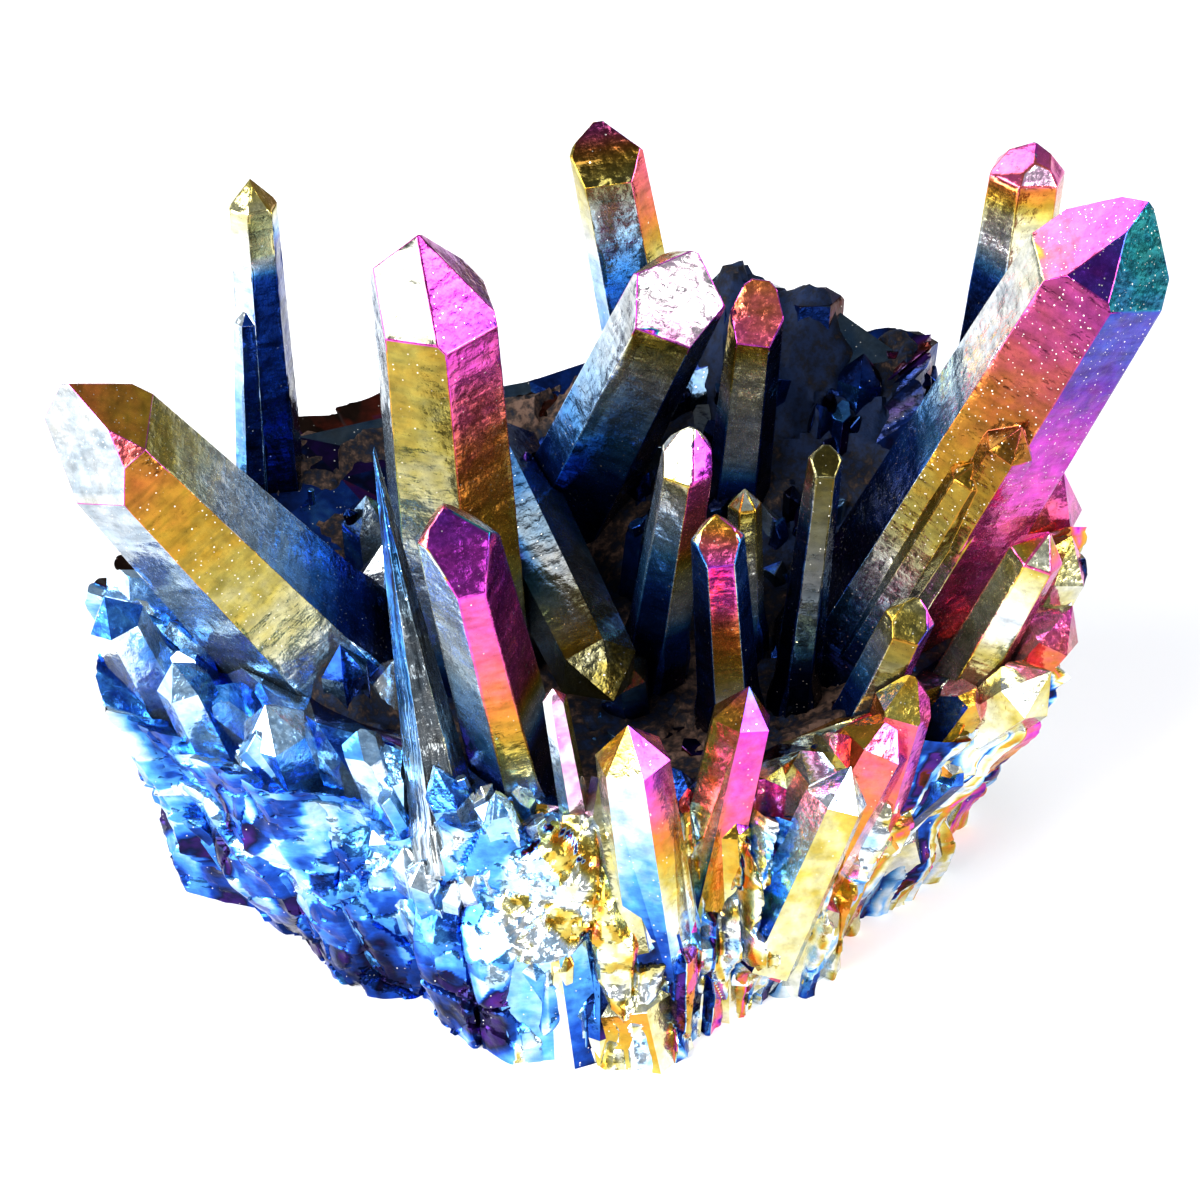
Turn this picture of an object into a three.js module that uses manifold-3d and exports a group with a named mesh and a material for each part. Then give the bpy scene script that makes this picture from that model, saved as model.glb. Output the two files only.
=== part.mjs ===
// Aura quartz cluster: a broken block of matrix rock whose walls are a crust of radiating quartz
// points, with a dished top that carries sixteen large free-standing quartz crystals.
// Millimetres, +Z up, -Y towards the front. The origin is on the flat resting face, under the block.
import * as THREE from "three";
import { ConvexGeometry } from "three/addons/geometries/ConvexGeometry.js";
import { mergeVertices } from "three/addons/utils/BufferGeometryUtils.js";
import Module from "manifold-3d";

const wasm = await Module();
wasm.setup();

// Driving dimensions of the matrix block. Its plan is a diamond in front and a rounded rectangle
// behind, wider at the rim than at the foot; squareness 1 is a diamond, 2 an ellipse, more is squarer.
const RIM = { left: 34, right: 34, front: 20, back: 29, frontSquareness: 1.6, backSquareness: 3 };
const FOOT = { left: 29, right: 25, front: 27, back: 22, frontSquareness: 1.2, backSquareness: 2.4 };
const RIM_HEIGHT = 24;
const BLOCK_CENTRE_Y = 3;
const BACK_RISE = 4; // how far the rim climbs along the whole back
const BACK_RIDGE_RISE = 12; // how much further it climbs at the back right
const BACK_RIDGE_TOWARD = 60; // degrees, from +X
const FRONT_LIP_DROP = 5; // how far the rim dips at the front
const ROCK_LUMP = 0.7; // height of the rock's lumps

// The block's section from the middle of its foot to the middle of its floor:
// [share of the radius, share of the rim's height].
const BLOCK_SECTION = [
  [0, 0], [0.97, 0], [1, 0.12], [1, 0.4], [0.98, 0.72], [0.92, 0.93],
  [0.8, 0.87], [0.62, 0.74], [0.3, 0.68], [0, 0.66],
];
const BLOCK_COLUMNS = 30;

// Quartz habit: six prism faces, and six tip faces that stand 38.2 degrees off the long axis.
const FACES = 6;
const TIP_SLOPE = 38.2;
const TAPER = 1.2; // degrees that a prism face leans in towards the tip
const SEAT = 6; // how deep a crystal's root runs into the matrix
const GAP = 0.3; // clear space between a crystal and the socket that it grew in

// The large crystals: root and tip in millimetres, width across the prism, and the turn of the
// front prism face about the long axis. sides scales each prism face's distance from the axis,
// tips moves each tip face in or out in millimetres, and cuts are broken faces. Buds grow on the
// side of a crystal and are placed in its own frame, along +Z from its root. colour is the coat's
// main colour.
const CRYSTALS = [
  {
    name: "crystal_front_tall", colour: 0xb4578f,
    root: [-10.5, 4.2, 19], tip: [-12.6, 2.4, 56.7], across: 9.4, spin: -18, taper: 0.7,
    sides: [1, 1, 1, 1, 1, 0.94], tips: [-0.8, -1.2, -0.7, 0.3, 0.4, 1.6],
  },
  {
    name: "crystal_left_leaning", colour: 0xb59a4a,
    root: [-21.6, 2, 20.4], tip: [-40.2, -2.5, 47.6], across: 11.4, spin: 22, taper: 3.4,
    seat: 2,
    sides: [1.1, 0.94, 1, 1, 1, 1.02], tips: [-0.9, -1.6, -0.6, 0, 0.4, -2.5],
  },
  {
    name: "crystal_back_left", colour: 0x3b5f8f,
    root: [-25.5, 21, 20], tip: [-26.7, 24, 48.6], across: 4.3, spin: 20, taper: 1.1,
    tips: [0, -0.2, 0, 0.2, 0, -0.1],
    buds: [{ root: [-1.6, -1.4, 0], tip: [-1, -1.2, 18.4], across: 2.6, spin: 10 }],
  },
  {
    name: "crystal_front_short", colour: 0x8a2f7a,
    root: [-6, -9.9, 17], tip: [-10.8, -14, 44.4], across: 6.2, spin: 8,
    sides: [1.3, 1, 1, 1, 1, 1], tips: [-1, 0.3, -0.6, 0.4, 0, 0.2],
  },
  {
    name: "crystal_front_needle", colour: 0x5d6f86,
    root: [-10.8, -14.2, 15], tip: [-16.1, -5, 44.2], across: 6.4, spin: 12, taper: 4.4, seat: 2,
    sides: [1, 0.68, 0.54, 0.64, 0.8, 1],
  },
  {
    name: "crystal_back_centre", colour: 0x4a4a58,
    root: [5.2, 26, 23], tip: [0, 30, 51], across: 6, spin: -4, taper: 0.8,
    sides: [0.76, 0.92, 0.9, 1, 1, 1], tips: [-1.8, -0.2, -0.4, 0.2, 0.3, 0],
  },
  {
    name: "crystal_centre_leaning", colour: 0x6f7d86,
    root: [-3, 19.6, 20], tip: [7.4, 13.6, 48.2], across: 7.6, spin: -4,
    sides: [0.86, 1, 1, 1, 1, 1], tips: [-2, 0.2, 0, 0.4, 0, 0.2],
  },
  {
    name: "crystal_centre_slim", colour: 0xe08a6a,
    root: [10.6, 17.6, 22], tip: [12.2, 16, 45], across: 4.4, spin: -6,
    sides: [0.84, 1, 1, 1, 1, 1], tips: [-2.4, 0, 0, 0.2, 0, 0],
  },
  {
    name: "crystal_inner_blade", colour: 0xc9b7c9,
    root: [4.2, 3.3, 19], tip: [6.9, 1, 41.2], across: 4.4, spin: -22,
    tips: [-1.3, -1.1, -0.3, 0, 0, -0.4],
  },
  {
    name: "crystal_inner_short", colour: 0xb2466e,
    root: [9.8, -3.2, 18], tip: [8.5, -5.4, 37.4], across: 4.2, spin: 4, seat: 4,
    tips: [-0.8, 0, 0, 0.2, 0, 0],
  },
  {
    name: "crystal_inner_sliver", colour: 0xe6dcae,
    root: [11.1, 5.4, 19], tip: [10.9, 5.6, 32.4], across: 2.8, spin: 10, seat: 4,
  },
  {
    name: "crystal_inner_dark", colour: 0x4c4a38,
    root: [14.7, -1.8, 18], tip: [16.7, -1, 40.6], across: 3.2, spin: 3, seat: 3,
    tips: [-0.4, 0.2, 0.2, 0.2, 0.2, 0.2],
  },
  {
    name: "crystal_right_large", colour: 0xb0487c,
    root: [20.6, 5, 18], tip: [39.9, 4, 58.9], across: 12, spin: -24, seat: 3,
    sides: [1, 0.9, 0.84, 1, 1, 1], tips: [0, -0.8, 0, 0, 0.6, -0.8],
    buds: [
      { root: [-2, -4.7, 8], tip: [-2.4, -5.5, 22.4], across: 3.2, spin: -24 },
      { root: [-0.6, -4.4, 17], tip: [-1.2, -6, 26.8], across: 3.8, spin: -24, seat: 2 },
    ],
  },
  {
    name: "crystal_back_right", colour: 0xd08fa8,
    root: [29.2, 18.8, 19.6], tip: [32.8, 22, 53.8], across: 6.6, spin: 14, seat: 1.5,
    cuts: [{ toward: 200, lean: 30, at: 0.95 }, { toward: -40, lean: 24, at: 0.96 }],
  },
  {
    name: "crystal_right_stub", colour: 0x6b5a58,
    root: [18.4, -5.1, 16], tip: [23.5, -6.8, 30.8], across: 4, spin: 0, seat: 3,
    tips: [-0.4, 0.2, 0.2, 0.2, 0.2, 0.2],
  },
  {
    name: "crystal_right_side", colour: 0xd9bd8a,
    root: [26.4, -2.5, 18], tip: [33.2, -3.4, 34.6], across: 4.4, spin: 0, seat: 3,
  },
];

// Points that stand on the walls and the floor and are one with the matrix, placed by eye.
const MATRIX_POINTS = [
  // On the floor.
  { root: [-6.6, 16, 24], tip: [1, -7.4, 22], across: 6.4, spin: 10 },
  { root: [2, 0, 17], tip: [1.6, -2.4, 22.6], across: 3.6, spin: 25 },
  { root: [3, 11, 18], tip: [3.6, 10, 27], across: 3, spin: 15 },
  { root: [-17.4, 13, 19], tip: [-18, 12, 27.4], across: 4, spin: 12 },
  { root: [-15.4, 6, 14], tip: [-16.4, 8, 26], across: 6.4, spin: 24 },
  { root: [-17, -2, 13], tip: [-15.4, -3.4, 23], across: 6, spin: 40 },
  { root: [-18.4, -5, 17], tip: [-19.4, -4.4, 25], across: 3.6, spin: 30 },
  // Along the front lip.
  { root: [-1.3, -15.4, 14], tip: [-3.4, -17.4, 30.4], across: 2.2, spin: 15 },
  { root: [4.4, -18, 8], tip: [2, -19.4, 28.6], across: 5.6, spin: -14 },
  { root: [7.4, -15.6, 10], tip: [10.9, -13, 27.4], across: 4.8, spin: 24 },
  { root: [14.4, -12.6, 8], tip: [22, -9, 22.6], across: 5.6, spin: 0 },
  { root: [13.2, -17.2, 8.4], tip: [18.4, -15, 21.6], across: 4.8, spin: 8, seat: 3 },
  // On the left rim.
  { root: [-32, -1, 14], tip: [-37, -2.4, 28], across: 4.4, spin: 20 },
  { root: [-28, -6, 14], tip: [-31.6, -8, 26], across: 4, spin: 5 },
  { root: [-22, -9, 12], tip: [-24.6, -12, 25], across: 5, spin: 32 },
  // On the right rim.
  { root: [28, 9, 14], tip: [35, 7, 33], across: 6, spin: 10 },
  { root: [28.6, 3.4, 13], tip: [35.4, 2, 30.5], across: 5.4, spin: 25, seat: 4 },
  { root: [26.6, 0, 13], tip: [35.4, -1.6, 26.6], across: 5, spin: 5, seat: 2 },
  { root: [24, -2.6, 13], tip: [33.6, -6.4, 24], across: 5.2, spin: 40, seat: 2 },
  { root: [29, 14, 14], tip: [35, 13.4, 28.6], across: 6.4, spin: 30 },
  // On the ridge at the back, broken off short.
  { root: [11, 26, 26], tip: [11.6, 30, 39], across: 6, cuts: [{ toward: 30, lean: 14, at: 0.8 }] },
  { root: [15.6, 25, 22], tip: [17, 28.6, 38], across: 4.8, cuts: [{ toward: 200, lean: 8, at: 0.84 }] },
  { root: [19.4, 22, 22], tip: [20.6, 23.6, 33], across: 3.8, spin: 24 },
  { root: [22.4, 25, 20], tip: [24.4, 28, 35], across: 5.2, cuts: [{ toward: 180, lean: 6, at: 0.78 }] },
];

// The crust that covers the walls: rows up the wall, each with points all round it.
// start is where on the wall a point is rooted, as a share of the rim's height.
const CRUST_ROWS = [
  { start: 0.0, count: 30, length: [9, 15], across: [4, 7] },
  { start: 0.3, count: 32, length: [9, 14], across: [3.6, 6.4] },
  { start: 0.6, count: 36, length: [7, 12], across: [2.8, 5] },
];
const CRUST_DEPTH = 1.8; // how far inside the wall a crust point's axis starts
const CRUST_LIFT = 0.1; // how far the points stand off the wall as they rise, over their length
const CRUST_FAN = { middle: 12, reach: 75 }; // the points lean sideways, away from x = middle
const CRUST_TILT = 0.2; // spread of the crust points' directions
const CRUST_SEED = 20;

const MATRIX_COLOUR = 0x5f8fd0;
const COAT_METALNESS = 0.8;

// A repeatable stream of numbers from 0 to 1.
function randomStream(seed) {
  let state = seed;
  return () => {
    state = (state + 0x6d2b79f5) | 0;
    let t = Math.imul(state ^ (state >>> 15), 1 | state);
    t = (t + Math.imul(t ^ (t >>> 7), 61 | t)) ^ t;
    return ((t ^ (t >>> 14)) >>> 0) / 4294967296;
  };
}

const radians = THREE.MathUtils.degToRad;
const between = ([low, high], share) => low + (high - low) * share;

// A unit vector by compass direction and height above the horizon, in degrees.
function direction(azimuth, elevation) {
  const level = Math.cos(radians(elevation));
  return new THREE.Vector3(
    Math.cos(radians(azimuth)) * level, Math.sin(radians(azimuth)) * level, Math.sin(radians(elevation)),
  );
}

// The planes that bound a quartz point standing on its root along +Z, its front face towards -Y.
function quartzPlanes(point, length, grow) {
  const { across, spin = 0, taper = TAPER, sides = [], tips = [], cuts = [], seat = SEAT } = point;
  const planes = [];
  const add = (normal, distance) => planes.push(new THREE.Plane(normal, -(distance + grow)));
  for (let face = 0; face < FACES; face += 1) {
    const azimuth = -90 + spin + (360 / FACES) * face;
    add(direction(azimuth, taper), (across / 2) * (sides[face] ?? 1) * Math.cos(radians(taper)));
    add(direction(azimuth, TIP_SLOPE), length * Math.sin(radians(TIP_SLOPE)) + (tips[face] ?? 0));
  }
  for (const cut of cuts) {
    const normal = direction(cut.toward, 90 - cut.lean);
    add(normal, normal.z * length * cut.at);
  }
  add(new THREE.Vector3(0, 0, -1), seat);
  return planes;
}

// Where three planes meet, or null if two of them are parallel.
function meeting(a, b, c) {
  const bc = new THREE.Vector3().crossVectors(b.normal, c.normal);
  const volume = a.normal.dot(bc);
  if (Math.abs(volume) < 1e-6) return null;
  const ca = new THREE.Vector3().crossVectors(c.normal, a.normal);
  const ab = new THREE.Vector3().crossVectors(a.normal, b.normal);
  return bc.multiplyScalar(-a.constant).addScaledVector(ca, -b.constant).addScaledVector(ab, -c.constant)
    .divideScalar(volume);
}

// The flat-faced solid that the planes enclose.
function enclosed(planes) {
  const corners = new Map();
  planes.forEach((a, i) => planes.slice(i + 1).forEach((b, j) => planes.slice(i + j + 2).forEach((c) => {
    const corner = meeting(a, b, c);
    if (!corner || planes.some((plane) => plane.distanceToPoint(corner) > 1e-5)) return;
    corners.set(corner.toArray().map((value) => value.toFixed(3)).join(), corner);
  })));
  return new ConvexGeometry([...corners.values()]);
}

// The placing of a point: +Z from root to tip, with -Y kept as near to the front as the lean allows.
function placing(point) {
  const root = new THREE.Vector3(...point.root);
  const axis = new THREE.Vector3(...point.tip).sub(root);
  const length = axis.length();
  axis.normalize();
  const back = new THREE.Vector3(0, 1, 0).addScaledVector(axis, -axis.y).normalize();
  const right = new THREE.Vector3().crossVectors(back, axis);
  return { length, matrix: new THREE.Matrix4().makeBasis(right, back, axis).setPosition(root) };
}

const quartz = (point, grow = 0) => enclosed(quartzPlanes(point, placing(point).length, grow));

// A closed three.js geometry as a solid that can be joined and cut.
function solid(geometry, matrix = new THREE.Matrix4()) {
  const bare = new THREE.BufferGeometry().setAttribute("position", geometry.getAttribute("position").clone());
  if (geometry.index) bare.setIndex(geometry.index.clone());
  const merged = mergeVertices(bare.applyMatrix4(matrix), 1e-4);
  const vertProperties = merged.attributes.position.array;
  const triVerts = new Uint32Array(merged.index.array);
  return new wasm.Manifold(new wasm.Mesh({ numProp: 3, vertProperties, triVerts }));
}

// A solid as a three.js geometry again.
function geometryOf(made) {
  const mesh = made.getMesh();
  return new THREE.BufferGeometry()
    .setAttribute("position", new THREE.BufferAttribute(mesh.vertProperties, 3))
    .setIndex(new THREE.BufferAttribute(mesh.triVerts, 1));
}

// The radius of a plan outline, and the rim's height, in one direction in plan.
function planRadius(plan, angle) {
  const [across, along] = [Math.cos(angle), Math.sin(angle)];
  const squareness = along < 0 ? plan.frontSquareness : plan.backSquareness;
  const wide = Math.abs(across / (across < 0 ? plan.left : plan.right)) ** squareness;
  const deep = Math.abs(along / (along < 0 ? plan.front : plan.back)) ** squareness;
  return (wide + deep) ** (-1 / squareness);
}

function rimHeight(angle) {
  const ridge = Math.max(0, Math.cos(angle - radians(BACK_RIDGE_TOWARD))) ** 8;
  const back = Math.max(0, Math.sin(angle));
  const lip = Math.max(0, -Math.sin(angle)) ** 2;
  return RIM_HEIGHT + BACK_RISE * back + BACK_RIDGE_RISE * ridge - FRONT_LIP_DROP * lip;
}

// A place in or on the block, by its direction in plan and its shares of radius and height.
function placeOnBlock(angle, share, level) {
  const wave = Math.sin(7 * angle + 9 * level) + Math.sin(11 * angle - 8 * share);
  const lump = ROCK_LUMP * share * level * wave;
  const outline = THREE.MathUtils.lerp(planRadius(FOOT, angle), planRadius(RIM, angle), level);
  const radius = share * (outline + lump);
  const height = level * THREE.MathUtils.lerp(RIM_HEIGHT, rimHeight(angle), share);
  return new THREE.Vector3(radius * Math.cos(angle), BLOCK_CENTRE_Y + radius * Math.sin(angle), height);
}

// The rock itself: the section turned about the upright axis, then drawn out to the block's plan.
function block() {
  const section = BLOCK_SECTION.map(([share, level]) => new THREE.Vector2(share, level));
  const geometry = new THREE.LatheGeometry(section, BLOCK_COLUMNS).rotateX(Math.PI / 2);
  const position = geometry.getAttribute("position");
  for (let i = 0; i < position.count; i += 1) {
    const angle = Math.atan2(position.getY(i), position.getX(i));
    const place = placeOnBlock(angle, Math.hypot(position.getX(i), position.getY(i)), position.getZ(i));
    position.setXYZ(i, place.x, place.y, place.z);
  }
  return solid(geometry);
}

// One point of the crust, rooted in the wall and running up it.
function crustPoint(row, angle, random) {
  const wall = placeOnBlock(angle, 1, row.start);
  const aim = placeOnBlock(angle, 1, row.start + 0.2).sub(wall).normalize();
  const fan = (wall.x - CRUST_FAN.middle) / CRUST_FAN.reach;
  aim.x += CRUST_LIFT * Math.cos(angle) + fan + CRUST_TILT * (random() - 0.5);
  aim.y += CRUST_LIFT * Math.sin(angle) + CRUST_TILT * (random() - 0.5);
  const inward = new THREE.Vector3(0, BLOCK_CENTRE_Y, wall.z).sub(wall);
  const root = wall.add(inward.setLength(CRUST_DEPTH * (0.4 + random())));
  const tip = root.clone().addScaledVector(aim.normalize(), between(row.length, random()));
  return {
    root: root.toArray(),
    tip: tip.toArray(),
    across: between(row.across, random()),
    spin: 60 * random(),
    seat: 3,
    sides: Array.from({ length: FACES }, () => 0.7 + 0.5 * random()),
    tips: Array.from({ length: FACES }, () => 0.9 - 1.8 * random()),
  };
}

function crust() {
  const random = randomStream(CRUST_SEED);
  return CRUST_ROWS.flatMap((row) => Array.from({ length: row.count }, (_, i) => {
    const angle = (2 * Math.PI * (i + 0.7 * random())) / row.count;
    return crustPoint(row, angle, random);
  }));
}

// The matrix: rock, crust and small points in one body, cut off flat below, with a socket for each crystal.
function matrixGeometry() {
  const points = [...MATRIX_POINTS, ...crust()].map((point) => solid(quartz(point), placing(point).matrix));
  const grown = points.reduce((body, point) => body.add(point), block()).trimByPlane([0, 0, 1], 0);
  const sockets = CRYSTALS.map((crystal) => {
    const socket = geometryOf(crystalSolid(crystal, GAP));
    return solid(socket, placing(crystal).matrix);
  });
  const bodies = sockets.reduce((body, socket) => body.subtract(socket), grown).decompose();
  return geometryOf(bodies.reduce((most, body) => (body.volume() > most.volume() ? body : most)));
}

// A large crystal in its own frame, with any buds joined to it.
function crystalSolid(crystal, grow = 0) {
  const buds = (crystal.buds ?? []).map((bud) => solid(quartz(bud, grow), placing(bud).matrix));
  return buds.reduce((body, bud) => body.add(bud), solid(quartz(crystal, grow)));
}

// The thin metal coat that gives each piece its colour.
function coat(color, roughness) {
  return new THREE.MeshStandardMaterial({ color, roughness, metalness: COAT_METALNESS, flatShading: true });
}

const cluster = new THREE.Group();
cluster.name = "aura_quartz_cluster";

const matrix = new THREE.Mesh(matrixGeometry(), coat(MATRIX_COLOUR, 0.35));
matrix.name = "matrix";
cluster.add(matrix);

for (const crystal of CRYSTALS) {
  const mesh = new THREE.Mesh(geometryOf(crystalSolid(crystal)), coat(crystal.colour, 0.2));
  mesh.name = crystal.name;
  mesh.applyMatrix4(placing(crystal).matrix);
  cluster.add(mesh);
}

export default cluster;
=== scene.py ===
"""The looks of a titanium-coated quartz cluster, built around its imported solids."""
import math
import random

import bmesh
import bpy
from mathutils import Matrix, Vector, noise
from mathutils.bvhtree import BVHTree
from mathutils.kdtree import KDTree


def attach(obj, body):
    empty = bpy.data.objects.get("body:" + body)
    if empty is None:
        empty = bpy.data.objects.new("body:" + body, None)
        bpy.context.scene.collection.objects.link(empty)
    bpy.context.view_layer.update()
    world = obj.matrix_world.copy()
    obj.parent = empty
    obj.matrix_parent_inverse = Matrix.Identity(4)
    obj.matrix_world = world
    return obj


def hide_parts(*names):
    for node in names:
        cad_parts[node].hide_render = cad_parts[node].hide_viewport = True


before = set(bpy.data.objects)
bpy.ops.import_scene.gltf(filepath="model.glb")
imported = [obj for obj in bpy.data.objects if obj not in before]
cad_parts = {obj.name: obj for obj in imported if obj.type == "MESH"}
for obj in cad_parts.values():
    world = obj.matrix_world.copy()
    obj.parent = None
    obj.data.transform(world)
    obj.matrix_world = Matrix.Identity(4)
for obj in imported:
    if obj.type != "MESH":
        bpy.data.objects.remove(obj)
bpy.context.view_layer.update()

# The camera stands in front of the cluster and a little above it, far off on a long lens, so the
# crystals keep their true proportions and none of them bends towards the edge of the picture.
MM = 0.001
LOOK_AT = Vector((0, 0, 26)) * MM
CAMERA_HEIGHT_DEG = 35
CAMERA_DISTANCE = 400 * MM

camera = bpy.data.objects.new("camera", bpy.data.cameras.new("camera"))
bpy.context.scene.collection.objects.link(camera)
bpy.context.scene.camera = camera
camera.data.sensor_width = 36
camera.data.lens = 159.6  # the cluster fills the picture as it does in the photo
camera.data.clip_start = 0.01
lift = math.radians(CAMERA_HEIGHT_DEG)
toward_camera = Vector((0, -math.cos(lift), math.sin(lift)))
camera.location = LOOK_AT + toward_camera * CAMERA_DISTANCE
camera.rotation_euler = (-toward_camera).to_track_quat("-Z", "Y").to_euler()
bpy.context.scene.view_settings.view_transform = "Standard"


# The studio: a sheet of white paper under the cluster, two large soft lights on the left, one on the
# right and a weak one behind, a small one in front for sharp glints, and a dim grey room that the
# upper faces mirror.
def linear(hex_colour):
    """An sRGB hex colour as linear red, green, blue and alpha."""
    channels = [int(hex_colour[i : i + 2], 16) / 255 for i in (1, 3, 5)]
    return [c / 12.92 if c <= 0.04045 else ((c + 0.055) / 1.055) ** 2.4 for c in channels] + [1.0]


def add(tree, kind, inputs=None, **settings):
    """A new shader node with its settings; each input is a value or the socket that feeds it."""
    node = tree.nodes.new("ShaderNode" + kind)
    for name, value in settings.items():
        setattr(node, name, value)
    for name, value in (inputs or {}).items():
        if isinstance(value, bpy.types.NodeSocket):
            tree.links.new(value, node.inputs[name])
        else:
            node.inputs[name].default_value = value
    return node


def new_material(name):
    """A bare material with its tree and its Principled shader."""
    material = bpy.data.materials.new(name)
    material.use_nodes = True
    tree = material.node_tree
    tree.nodes.clear()
    shader = add(tree, "BsdfPrincipled")
    add(tree, "OutputMaterial", {"Surface": shader.outputs["BSDF"]})
    return material, tree, shader


# Matt paper: white, without gloss, with a faint tooth.
paper, tree, shader = new_material("white_paper")
grain = add(tree, "TexNoise", {"Scale": 900.0, "Detail": 3.0})
tooth = add(tree, "Bump", {"Height": grain.outputs["Fac"], "Strength": 0.05, "Distance": 0.0001})
tree.links.new(tooth.outputs["Normal"], shader.inputs["Normal"])
shader.inputs["Base Color"].default_value = linear("#f4f4f4")
shader.inputs["Roughness"].default_value = 0.9

floor_mesh = bpy.data.meshes.new("paper_floor")
half = 1.5  # half the sheet's side in metres
sheet_corners = [(-half, -half, 0), (half, -half, 0), (half, half, 0), (-half, half, 0)]
floor_mesh.from_pydata(sheet_corners, [], [(0, 1, 2, 3)])
floor = bpy.data.objects.new("paper_floor", floor_mesh)
bpy.context.scene.collection.objects.link(floor)
floor.data.materials.append(paper)

room = bpy.data.worlds.new("grey_room")
bpy.context.scene.world = room
room.use_nodes = True
room.node_tree.nodes["Background"].inputs["Color"].default_value = linear("#c4ccd8")
room.node_tree.nodes["Background"].inputs["Strength"].default_value = 0.5

SOFT_LIGHTS = {  # name: place in mm, side in mm, watts
    "soft_left_high": ((-330, -400, 420), 300, 4.0),
    "soft_left_low": ((-480, -160, 160), 400, 6.4),
    "soft_right": ((500, -200, 280), 300, 4.4),
    "soft_back_left": ((-260, 440, 350), 300, 1.2),
    "small_front": ((120, -470, 215), 110, 0.22),
}
for name, (place, side, watts) in SOFT_LIGHTS.items():
    light = bpy.data.lights.new(name, "AREA")
    light.size = side * MM
    light.energy = watts
    lamp = bpy.data.objects.new(name, light)
    lamp.location = Vector(place) * MM
    lamp.rotation_euler = (LOOK_AT - lamp.location).to_track_quat("-Z", "Y").to_euler()
    bpy.context.scene.collection.objects.link(lamp)

# The large crystals: quartz points under a vapour-deposited titanium film. The film is thin in the
# sheltered hollow and thicker towards the tips, and each thickness has its own interference colour,
# so every face runs from navy at its root through blue, silver and gold to pink and violet. The dark
# navy low down is partly that thin film and partly painted shade for the shadowed hollow.
BARE, BRONZE, PURPLE, NAVY, ROYAL, SKY, ICE = 0.0, 0.04, 0.08, 0.13, 0.19, 0.25, 0.31
SILVER, STRAW, OLIVE, GOLD, AMBER, CORAL, PINK = 0.37, 0.42, 0.455, 0.49, 0.55, 0.60, 0.65
MAGENTA, VIOLET, INDIGO, TEAL, GREEN, ROSE, BLUSH = 0.69, 0.75, 0.81, 0.87, 0.91, 0.965, 1.0
FILM_COLOURS = [
    (BARE, "#2a1a12"), (BRONZE, "#6a2618"), (PURPLE, "#46207a"), (NAVY, "#0a1233"), (ROYAL, "#194bb4"),
    (SKY, "#55a6f2"), (ICE, "#b8dcf8"), (SILVER, "#ecf0f0"), (STRAW, "#e0dba8"), (OLIVE, "#c4b355"),
    (GOLD, "#c4982e"), (AMBER, "#da7c36"), (CORAL, "#e66472"), (PINK, "#e858b0"), (MAGENTA, "#ca3cbc"),
    (VIOLET, "#6029a0"), (INDIGO, "#3a4cb4"), (TEAL, "#1a7c8c"), (GREEN, "#2f9a80"),
    (ROSE, "#f4e2e8"), (BLUSH, "#f08cd4"),
]


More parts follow.
